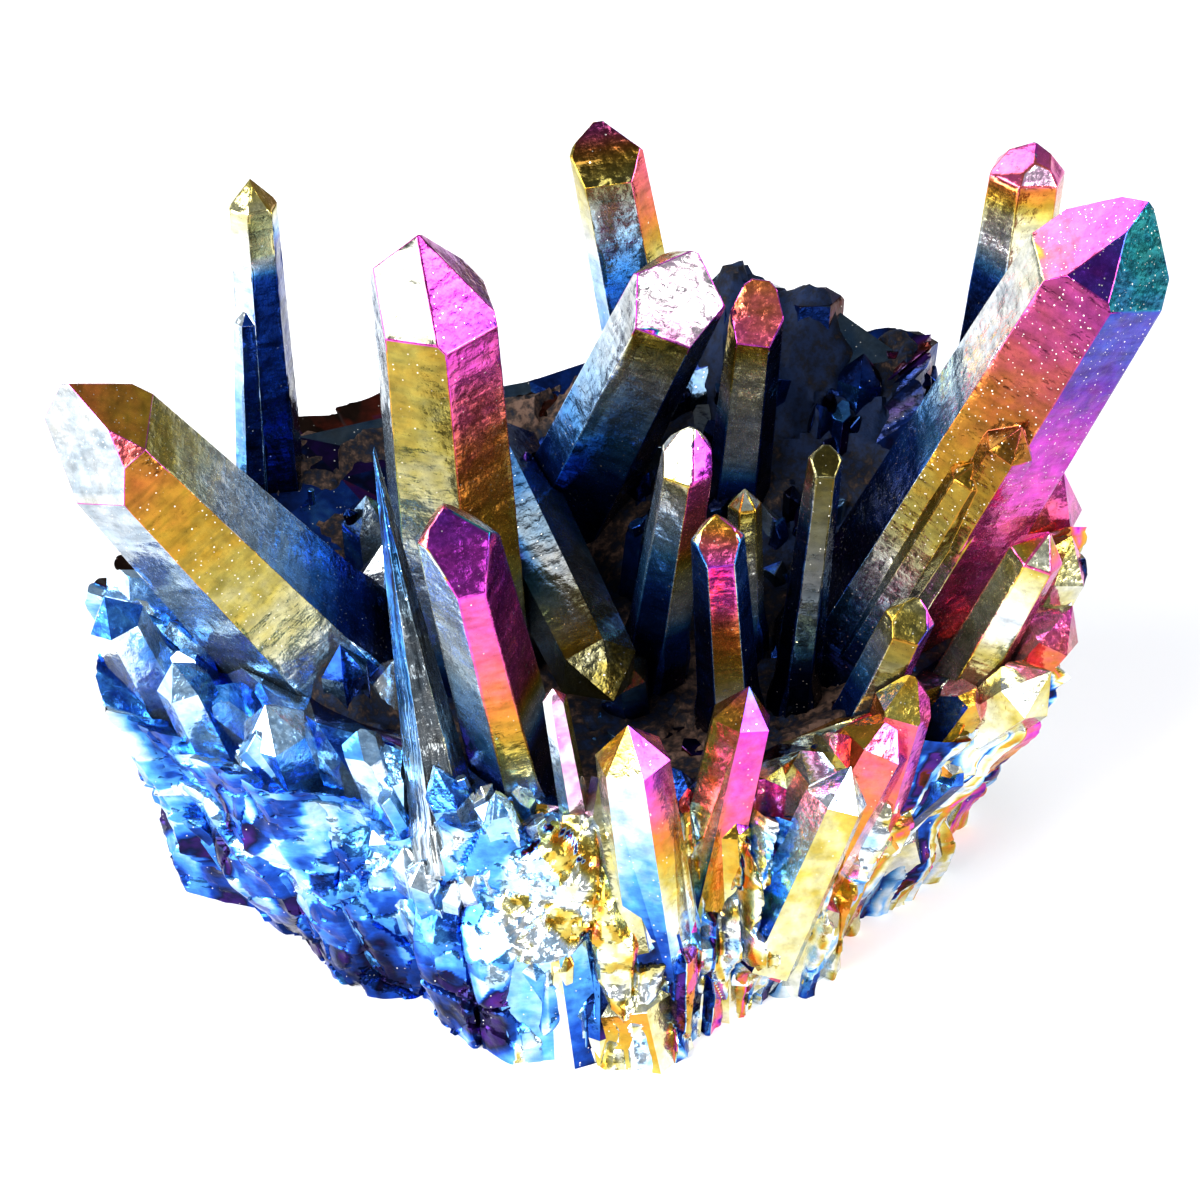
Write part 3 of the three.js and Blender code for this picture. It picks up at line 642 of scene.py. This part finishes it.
def fused_film(point, centre, normal, corners):
    """The film and its painted light level at the corners of a face in mm, if the face is one of this
    crystal's.
    """
    root, tip = (Vector(end) for end in point["axis"])
    to_local = (Matrix.Translation(root) @ crystal_frame(root, tip)).inverted()
    length = (tip - root).length
    middle = to_local @ centre
    if not -1 < middle.z < length + 1 or middle.xy.length > 0.62 * point["across"]:
        return None
    facing = to_local.to_3x3() @ normal
    turn = math.degrees(math.atan2(facing.y, facing.x)) + 90 - point["spin"]
    name = ("front", "right", "right", "front", "left", "left")[round(turn / 60) % 6]
    side, end, painted_light_level = point[name]
    shoulder = length - 0.6 * point["across"]
    shares = [(to_local @ corner).z / shoulder for corner in corners]
    if facing.z > 0.35:
        up_tip = [(share - 1) * shoulder / (length - shoulder) for share in shares]
        return [blend_of(end, share) for share in up_tip], painted_light_level
    return [blend_of(side, share) for share in shares], painted_light_level


rng = random.Random(4)
bm = bmesh.new()
bm.from_mesh(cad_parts["matrix"].data)
bmesh.ops.remove_doubles(bm, verts=bm.verts, dist=1e-6)
bmesh.ops.dissolve_limit(bm, angle_limit=math.radians(1.5), verts=bm.verts, edges=bm.edges)
bm.normal_update()
film, shade, dust = film_layers(bm.loops)
for face in bm.faces:
    centre = face.calc_center_median() / MM
    corners = [loop.vert.co / MM for loop in face.loops]
    told = [fused_film(point, centre, face.normal, corners) for point in FUSED_CRYSTALS]
    facing_in = face.normal.z > 0.3 or face.normal.dot(centre - BLOCK_CENTRE) < 0
    sheltered_and_shaded = is_inside(centre) or (centre.y > 12 and (centre.z > 22 or facing_in))
    chance = rng.random()
    if any(told):
        values, painted_light_level = next(found for found in told if found)
    # Hollow and inner back faces: the dark hollow film at half light, or a dim steel grey at an eighth of
    # it: painted shade.
    elif sheltered_and_shaded:
        steel = chance < 0.3
        values = [0.29 if steel else hollow_film(centre) + 0.05 * chance] * len(corners)
        painted_light_level = 0.12 if steel else 0.5
    else:
        base, climb = wall_film(centre, chance), 0.012 if centre.x > -4 else 0.005
        values, painted_light_level = [base + climb * (corner.z - centre.z) for corner in corners], 1
    for loop, value in zip(face.loops, values):
        loop[film] = value
        loop[shade] = painted_light_level
        loop[dust] = 0.2
matrix_piece = finish_mesh("matrix_coated", bm, crust_film, sharp_deg=20)
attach(matrix_piece, "root")
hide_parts("matrix")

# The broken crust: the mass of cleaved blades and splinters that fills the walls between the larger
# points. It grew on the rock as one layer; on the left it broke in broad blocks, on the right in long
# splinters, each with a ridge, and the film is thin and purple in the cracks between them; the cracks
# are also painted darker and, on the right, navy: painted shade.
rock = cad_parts["matrix"].data
rock_tree = BVHTree.FromPolygons([v.co / MM for v in rock.vertices], [p.vertices[:] for p in rock.polygons])
COLUMNS = 960  # points round the wall
ROWS = 130  # points from its foot to its rim
CRACK = 0.22  # half width of a crack in mm
EDGE_SLOPE = 0.9  # width of the slope between two blades in mm
LIP_HEIGHT = 20  # the crust ends here at the front in mm, below the points of the lip
RIDGE_HEIGHT = 34  # and here at the ends and the back
MASS_X, MASS_Z = -3.7, 13.5  # the middle of the flaky mass at the front corner in mm
MASS_WIDE, MASS_HIGH = 4.2, 5.2  # and how far it reaches from there
noise.seed_set(7)  # the flakes tilt the same way in every run


def over_window(values, reach, wrap, take):
    """A list with each value taken over a window on each side of it, closed on itself or not."""
    count = len(values)
    taken = []
    for i in range(count):
        places = range(i - reach, i + reach + 1)
        taken.append(take([values[j % count] for j in places if wrap or 0 <= j < count]))
    return taken


def mean(values):
    """The mean of a list of numbers."""
    return sum(values) / len(values)


def flake(p, size):
    """How far a broken flake of about this size in mm stands out at a place, and the flake's own chance."""
    middle = noise.voronoi(p / size)[1][0]
    tilt = noise.noise_vector(middle * 3.7)
    stands_out = 0.35 * noise.noise(middle * 5.3) + 0.5 * tilt.dot(p / size - middle)
    return size * stands_out, noise.cell(middle * 7.1)


def under_point(p):
    """How far a place in mm lies under the faces of a fused crystal, from 0 to 1."""
    depth = 0
    for point in FUSED_CRYSTALS:
        root, tip = (Vector(end) for end in point["axis"])
        along = (tip - root).normalized()
        share = (p - root).dot(along)
        if 0 < share < (tip - root).length:
            depth = max(depth, (0.72 * point["across"] - (p - root - along * share).length) / 0.6)
    return min(depth, 1)


def wall_reach(angle, height):
    """How far the rock reaches from its middle line at an angle and a height in mm, or 0 above it."""
    out = Vector((math.cos(angle), math.sin(angle), 0))
    hit = rock_tree.ray_cast(BLOCK_CENTRE + out * 90 + Vector((0, 0, height)), -out)
    return 0 if hit[0] is None else 90 - hit[3]


angles = [math.tau * i / COLUMNS for i in range(COLUMNS)]
rims = []
for angle in angles:
    middle = wall_reach(angle, 12)
    height = 14.0
    highest = LIP_HEIGHT if math.sin(angle) < -0.2 else RIDGE_HEIGHT
    while height < highest and wall_reach(angle, height) > middle - 4:
        height += 0.5
    rims.append(height)
rims = over_window(rims, 18, True, mean)
reaches = [[wall_reach(a, rims[i] * (r + 0.5) / ROWS) for i, a in enumerate(angles)] for r in range(ROWS)]
# The crust covers the points of the rock on the left and lets the larger ones through on the right.
reach_sets = []
for reach in (13, 5):
    rows = [over_window(over_window(row, reach, True, max), 9, True, mean) for row in reaches]
    columns = [over_window(column, reach // 2, False, max) for column in zip(*rows)]
    reach_sets.append([over_window(column, 8, False, mean) for column in columns])
right_share = [held((math.cos(a) * reaches[ROWS // 2][i] + 8) / 14) for i, a in enumerate(angles)]
columns = []
for share, pair in zip(right_share, zip(*reach_sets)):
    columns.append([wide + (narrow - wide) * share for wide, narrow in zip(*pair)])
reaches = list(zip(*columns))

# The wall unrolled: how far along it each column stands, counted in blade widths.
spots = []
for angle, reach in zip(angles, reaches[ROWS // 2]):
    spots.append(BLOCK_CENTRE + Vector((math.cos(angle), math.sin(angle), 0)) * reach)
blade_width = [4.6 - 2.8 * share for share in right_share]
blade_length = [8.0 + 1.0 * share for share in right_share]
lean = [-math.sin(a) * (p.x - 1) / (62 - 14 * share) for a, p, share in zip(angles, spots, right_share)]
along = [0.0]
for i in range(COLUMNS):
    along.append(along[-1] + (spots[(i + 1) % COLUMNS] - spots[i]).length / blade_width[i])
rng = random.Random(21)
blades = []
seeds = KDTree(int(along[-1] + 3) * 10)
for i in range(int(along[-1] + 3)):
    for j in range(10):
        centre = Vector((i - 1 + rng.uniform(-0.45, 0.45), j - 1 + rng.uniform(-0.45, 0.45), 0))
        seeds.insert(centre, len(blades))
        blades.append({
            "lift": rng.uniform(-0.9, 0.8), "slope": rng.uniform(-0.32, 0.32),
            "rake": rng.uniform(-0.18, 0.12), "ridge": rng.uniform(-0.6, 0.6),
            "roof": rng.uniform(0.1, 0.75), "chance": (rng.random(), rng.random()),
        })
seeds.balance()

for part, begin in (("front", -COLUMNS // 2 - 8), ("back", -8)):
    # The front half runs from the left end round by the viewer to the right end.
    bm = bmesh.new()
    film, shade, dust = film_layers(bm.verts)
    grid = []
    for r in range(ROWS + 1):
        line = []
        for c in range(begin, begin + COLUMNS // 2 + 16):
            i = c % COLUMNS
            height = rims[i] * r / ROWS
            # Each line of points climbs the wall along the lean of the blades, so their edges stay clean.
            column = c + lean[i] * height / (spots[(i + 1) % COLUMNS] - spots[i]).length
            angle = math.tau * column / COLUMNS
            out = Vector((math.cos(angle), math.sin(angle), 0))
            row, this = reaches[min(r, ROWS - 1)], math.floor(column)
            reach = row[this % COLUMNS] + (row[(this + 1) % COLUMNS] - row[this % COLUMNS]) * (column - this)
            p = BLOCK_CENTRE + out * reach + Vector((0, 0, height))
            shift = along[i]
            left = 1 - right_share[i]
            unrolled = Vector((shift, height / blade_length[i], 0))
            (at, own, near), (beside_at, beside, far) = seeds.find_n(unrolled, 2)
            gap = (far - near) * blade_width[i]
            # Close to its edge a blade slopes over to the level of the one beside it.
            yields = 0.5 * max(0, 1 - gap / EDGE_SLOPE)
            rise = 0
            pair = ((blades[beside], beside_at, yields), (blades[own], at, 1 - yields))
            for blade, middle, weight in pair:
                du = (shift - middle.x) * blade_width[i]
                dv = height - middle.y * blade_length[i]
                roof = (1 - 0.55 * left) * blade["roof"] * abs(du - blade["ridge"])
                rise += weight * (blade["lift"] + blade["slope"] * du + blade["rake"] * dv - roof)
            crack = 1 - min(gap / (2 * CRACK), 1)
            # Flakes about 1 to 2 mm across broke off the blades.
            chip, chance = flake(p, 2.0 if left > 0.5 else 1.2)
            rise += (0.35 + 0.15 * left) * chip + 0.1 * noise.noise(p * 0.9) - 0.7 * crack * crack
            rise = min(max(rise, -1.7), 1.2)
            # A mass of the finest crystals, broken in white and gold flakes, sits low on the front corner.
            ragged = 1 + 0.6 * noise.noise(p * 0.35)
            from_mass = ((p.x - MASS_X) / MASS_WIDE) ** 2 + ((height - MASS_Z) / MASS_HIGH) ** 2
            mass = held(2.5 * (ragged - from_mass)) * (p.y < 0)
            lump, tone = flake(p, 2.2)
            crumb, speck = flake(p, 0.8)
            rise += (0.2 + 0.9 * lump + 0.7 * crumb - rise) * mass
            tuck = max(0.0, (r - ROWS + 6) / 6)
            clear = right_share[i] * held((r / ROWS - 0.55) / 0.3)
            hidden = under_point(p) if p.y < 0 else 0
            rise_here = 0.25 + rise - 3.5 * tuck - 0.7 * clear - 1.6 * hidden
            place = p + out * rise_here - Vector((0, 0, 2.5 * tuck))
            vert = bm.verts.new(place * MM)
            sunk = held((-rise - 0.35) / 1.1)
            value = wall_film(p, blade["chance"][du > blade["ridge"]]) + 0.07 * (chance - 0.5)
            value += (0.012 * right_share[i] + 0.006) * dv
            # On the right the film thickens to pink along the edges of the blades.
            pinker = held(0.5 + 1.6 * noise.noise(p * 0.4))
            value += 0.17 * right_share[i] * pinker * max(0, 1 - abs(gap - 0.5) / 0.35)
            value += ((0.34, 0.36, 0.4, 0.46, 0.49)[int(5 * tone) % 5] + 0.04 * (speck - 0.5) - value) * mass
            # On the left it is thin and purple in streaks along the blades, and rusty at the foot.
            streak = held((noise.noise(Vector((1.3 * shift, 0.09 * height, 5.0))) - 0.08) / 0.2)
            foot = held((9 - height) / 8)
            thin = left * min(streak * (0.25 + 0.6 * foot) + foot * (0.2 + 1.3 * noise.noise(p * 0.35)), 1)
            tint = PURPLE + 0.025 - 0.06 * foot * chance if left > 0.6 else NAVY
            # Sunk places are pulled to the dark tint too: painted shade in the cracks.
            value += (tint - value) * min((0.8 - 0.35 * left) * sunk + 0.8 * max(thin, 0), 1) * (1 - mass)
            # Deep dips in the flaky mass are painted bare dark brown: painted shade.
            if mass > 0.3 and rise < -0.5:
                value = BARE
            # The crest at the back is bare brown rock on the left and navy on the right.
            if p.y > 8 and r > 0.88 * ROWS:
                value = BARE + 0.03 * chance if p.x < 2 else hollow_film(p)
            vert[film] = value
            # Sunk places are painted darker, more so on the right: painted shade in the cracks.
            vert[shade] = 1 - (0.3 + 0.4 * right_share[i]) * sunk
            vert[dust] = 0.1
            line.append(vert)
        grid.append(line)
    for lower, upper in zip(grid, grid[1:]):
        for k in range(len(lower) - 1):
            bm.faces.new((lower[k], lower[k + 1], upper[k + 1], upper[k]))
    crust = finish_mesh("broken_crust_" + part, bm, crust_film, sharp_deg=24)
    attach(crust, "root")

# The floor of the hollow: bare brown and navy rock, rough and lumpy, that the large crystals stand in.
# It is the top of the same block, broken before the crystals grew.
FLOOR_STEP = 0.4  # spacing of the floor's points in mm

# Bare quartzite: dull, dark brown rock, navy where a trace of film reached it. It gives the eye a dry,
# grainy patch among the mirrors, and it stays dark because it throws back little light.
bare_rock, tree, shader = new_material("bare_quartzite")
place = add(tree, "TexCoord").outputs["Object"]
film = add(tree, "Attribute", attribute_name="film").outputs["Fac"]
grains = add(
    tree, "TexNoise", {"Vector": place, "Scale": 1 / (0.8 * MM), "Detail": 3.0, "Roughness": 0.7},
)
mixed = add(tree, "Math", {0: film, 1: grains.outputs["Fac"]}, operation="ADD")
stain = add(tree, "ValToRGB", {"Fac": mixed.outputs["Value"]})
stops = stain.color_ramp.elements
stops[0].position, stops[0].color = 0.36, linear("#5c463a")
stops[1].position, stops[1].color = 0.9, linear("#0e2142")
stops.new(0.52).color = linear("#2c211c")
stops.new(0.64).color = linear("#060b18")
tree.links.new(stain.outputs["Color"], shader.inputs["Base Color"])
coarse = add(
    tree, "Bump", {"Height": grains.outputs["Fac"], "Strength": 0.7, "Distance": 0.15 * MM},
)
tree.links.new(coarse.outputs["Normal"], shader.inputs["Normal"])
shader.inputs["Metallic"].default_value = 0.15
shader.inputs["Roughness"].default_value = 0.7
shader.inputs["Specular IOR Level"].default_value = 0.2

crystal_points, crystal_faces = [], []
for node in CRYSTALS:
    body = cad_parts[node].data
    crystal_faces += [[v + len(crystal_points) for v in polygon.vertices] for polygon in body.polygons]
    crystal_points += [v.co / MM for v in body.vertices]
crystal_tree = BVHTree.FromPolygons(crystal_points, crystal_faces)
xs = [-36 + FLOOR_STEP * i for i in range(int(72 / FLOOR_STEP) + 1)]
ys = [-15 + FLOOR_STEP * i for i in range(int(48 / FLOOR_STEP) + 1)]
tops = {}
for j, y in enumerate(ys):
    for i, x in enumerate(xs):
        hit = rock_tree.ray_cast(Vector((x, y, 70)), Vector((0, 0, -1)))[0]
        if hit and crystal_tree.find_nearest(hit, 0.6)[0] is None:
            tops[i, j] = hit.z
# The sockets of the large crystals are filled to the level of the rock beside them.
beside = KDTree(len(tops))
for k, (i, j) in enumerate(tops):
    beside.insert(Vector((xs[i], ys[j], 0)), k)
beside.balance()
known = list(tops.values())
heights = []
for j, y in enumerate(ys):
    nearest = [known[beside.find(Vector((x, y, 0)))[1]] for x in xs]
    heights.append([tops.get((i, j)) or nearest[i] for i in range(len(xs))])
# The floor runs under the points that stand on it: the lowest of the tops around, then the highest of
# those. Near the rim the search is narrow, to keep the rim's crest.
levels = []
for reach in (9, 3):
    sheet = heights
    for take, window in ((min, reach), (max, reach), (mean, 2)):
        sheet = [over_window(line, window, False, take) for line in sheet]
        sheet = list(zip(*[over_window(column, window, False, take) for column in zip(*sheet)]))
    levels.append(sheet)
bm = bmesh.new()
film = bm.verts.layers.float.new("film")
grid = {}
for j, y in enumerate(ys):
    for i, x in enumerate(xs):
        from_middle = math.hypot(x - BLOCK_CENTRE.x, y - BLOCK_CENTRE.y)
        toward = math.atan2(y - BLOCK_CENTRE.y, x - BLOCK_CENTRE.x) % math.tau
        edge = from_middle / (reaches[-1][int(toward / math.tau * COLUMNS) % COLUMNS] - 0.6)
        if y < 6:
            edge = max(edge, math.hypot(x / 29, (y - 6) / 18))
        if edge < 1:
            wide = held((0.86 - edge) / 0.12)
            p = Vector((x, y, levels[1][j][i] + (levels[0][j][i] - levels[1][j][i]) * wide))
            ridge = held((y - 12) / 8)
            lump, chance = flake(p, 3.4)
            crumb, _ = flake(p, 1.3)
            rough = (0.5 + 0.8 * ridge) * lump + 0.5 * crumb + 0.1 * noise.noise(p * 3.1)
            sink = 2.4 * held((edge - 0.95) / 0.05)
            vert = bm.verts.new((p + Vector((0, 0, 0.45 + 0.5 * ridge + max(rough, -0.6) - sink))) * MM)
            deep = held((x - 2) / 8) * held((y - 6) / 8)
            vert[film] = hollow_film(p) + 0.08 * (chance - 0.5) + 0.2 * deep - 0.08 * ridge * (1 - deep)
            grid[i, j] = vert
for i, j in grid:
    corners = [grid.get(key) for key in ((i, j), (i + 1, j), (i + 1, j + 1), (i, j + 1))]
    if all(corners):
        bm.faces.new(corners)
hollow = finish_mesh("hollow_floor", bm, bare_rock, sharp_deg=45)
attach(hollow, "root")

# The small crystals of the crust: loose-standing points and broken stubs a few millimetres long. They
# grew on the same rock and lean the way their neighbours lean.
NEEDLE_STUBS = [  # place and width in mm
    (-14, -15, 10.4, 2.8), (-12.4, -16.4, 9.6, 3.2), (-10.8, -17, 9.4, 2.6), (-9.2, -17, 9.8, 3.0),
    (-7.8, -16.4, 11, 2.4),
]
CHIP_COUNTS = {"walls": 130, "hollow": 70, "ridge": 90}  # places tried in each region


def grow_chip(bm, layers, root, aim, across, length, broken, value, painted_light_level, rng):
    """A small six-sided point, or a broken one with a slanting end, with its own film and painted light
    level.
    """
    film, shade, dust = layers
    turn = (crystal_frame(root, root + aim) @ Matrix.Rotation(rng.uniform(0, math.tau), 4, "Z")).to_3x3()
    corners = []
    for k in range(6):
        angle = math.radians(60 * k + rng.uniform(-9, 9))
        corners.append(Vector((math.cos(angle), math.sin(angle) * rng.uniform(0.6, 1.0), 0)) * across / 2)
    slant = Vector((rng.uniform(-0.7, 0.7), rng.uniform(-0.7, 0.7)))
    drop = 0 if broken else 0.55 * across
    feet = [bm.verts.new((root + turn @ c) * MM) for c in corners]
    shoulders = []
    for c in corners:
        height = length - drop * rng.uniform(0.7, 1.3) + slant.dot(c.xy)
        shoulders.append(bm.verts.new((root + turn @ (c * 0.94 + Vector((0, 0, height)))) * MM))
    after = [1, 2, 3, 4, 5, 0]
    sides = [bm.faces.new((feet[k], feet[n], shoulders[n], shoulders[k])) for k, n in enumerate(after)]
    if broken:
        ends = [bm.faces.new(shoulders)]
    else:
        peak = Vector((rng.uniform(-0.15, 0.15), rng.uniform(-0.15, 0.15), 0)) * across
        peak.z = length
        apex = bm.verts.new((root + turn @ peak) * MM)
        ends = [bm.faces.new((shoulders[k], shoulders[n], apex)) for k, n in enumerate(after)]
    base = bm.faces.new(feet[::-1])
    for face in [*sides, *ends, base]:
        own = value + (rng.uniform(-0.05, 0.05) if face in sides else rng.uniform(-0.02, 0.08))
        for loop in face.loops:
            loop[film] = own - (0.05 if loop.vert in feet else 0)
            loop[shade] = painted_light_level
            loop[dust] = 0.1


facets = []
rock.calc_loop_triangles()
for triangle in rock.loop_triangles:
    corners = [rock.vertices[i].co / MM for i in triangle.vertices]
    facets.append((corners, triangle.normal.copy(), triangle.area))
outer = [f for f in facets if -0.6 < f[1].z < 0.6 and not is_inside(sum(f[0], Vector()) / 3)]
inner = [f for f in facets if f[1].z > 0.3 and is_inside(sum(f[0], Vector()) / 3)]
back = []
for facet in facets:
    first, normal = facet[0][0], facet[1]
    if normal.y < 0.35 and normal.z > -0.1 and first.x > 2 and first.y > 14 and first.z > 17:
        back.append(facet)
rng = random.Random(11)
for region, places in (("walls", outer), ("hollow", inner), ("ridge", back)):
    bm = bmesh.new()
    layers = film_layers(bm.loops)
    for corners, normal, _ in rng.choices(places, weights=[f[2] for f in places], k=CHIP_COUNTS[region]):
        u, v = sorted((rng.random(), rng.random()))
        place = corners[0] * u + corners[1] * (v - u) + corners[2] * (1 - v)
        out = Vector((place.x, place.y - BLOCK_CENTRE.y, 0)).normalized()
        if region == "walls":
            aim = Vector((0.25 * out.x + (place.x - 2) / 58, 0.25 * out.y, 1))
            across, length = rng.uniform(1.2, 3.0), rng.uniform(3.0, 7.5)
            # On the inner back wall the chips take the dark hollow film at half light: painted shade.
            dark = place.y > 12 and (place.z > 20 or normal.dot(out) < 0.3)
            value, painted_light_level = (hollow_film(place), 0.5) if dark else (wall_film(place, rng.random()), 0.95)
        elif region == "hollow":
            aim = Vector((0, 0, 1)) + normal * 0.5
            across, length = rng.uniform(0.8, 2.2), rng.uniform(1.6, 3.6)
            # Chips in the hollow are at half light: painted shade.
            value, painted_light_level = hollow_film(place) + 0.08 * rng.random(), 0.5
        else:
            aim = Vector((place.x / 80, 0.1, 1))
            across, length = rng.uniform(1.4, 3.4), rng.uniform(4, 9)
            # Ridge chips are dark navy and steel at 0.15 to 0.5 of full light: painted shade on the shadowed
            # back wall.
            value, painted_light_level = rng.choice((NAVY, 0.14, 0.15, 0.17, 0.28)), rng.choice((0.15, 0.3, 0.5))
        aim = (aim + Vector([rng.uniform(-0.2, 0.2) for _ in range(3)])).normalized()
        root = place - aim * length * 0.55 - normal * across * 0.25
        on_point = any(fused_film(point, place, normal, [place]) for point in FUSED_CRYSTALS)
        too_high = (place + aim * length * 0.45).z > 32 or region == "walls" and place.z > 20
        if on_point or root.z < 0.6 or too_high:
            continue
        grow_chip(bm, layers, root, aim, across, length, rng.random() < 0.45, value, painted_light_level, rng)
    # Short stubs close round the foot of the striated crystal at the front.
    for x, y, z, size in NEEDLE_STUBS if region == "walls" else []:
        aim = Vector((rng.uniform(-0.25, 0.1), -0.3, 1)).normalized()
        root, value = Vector((x, y, z)), rng.uniform(0.29, 0.36)
        grow_chip(bm, layers, root, aim, size, 1.7 * size, size < 2.6, value, 0.95, rng)
    bmesh.ops.bevel(bm, geom=bm.edges[:], offset=0.05 * MM, segments=1, affect="EDGES", clamp_overlap=True)
    chips = finish_mesh("small_crystals_on_" + region, bm, crust_film, sharp_deg=20)
    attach(chips, "root")
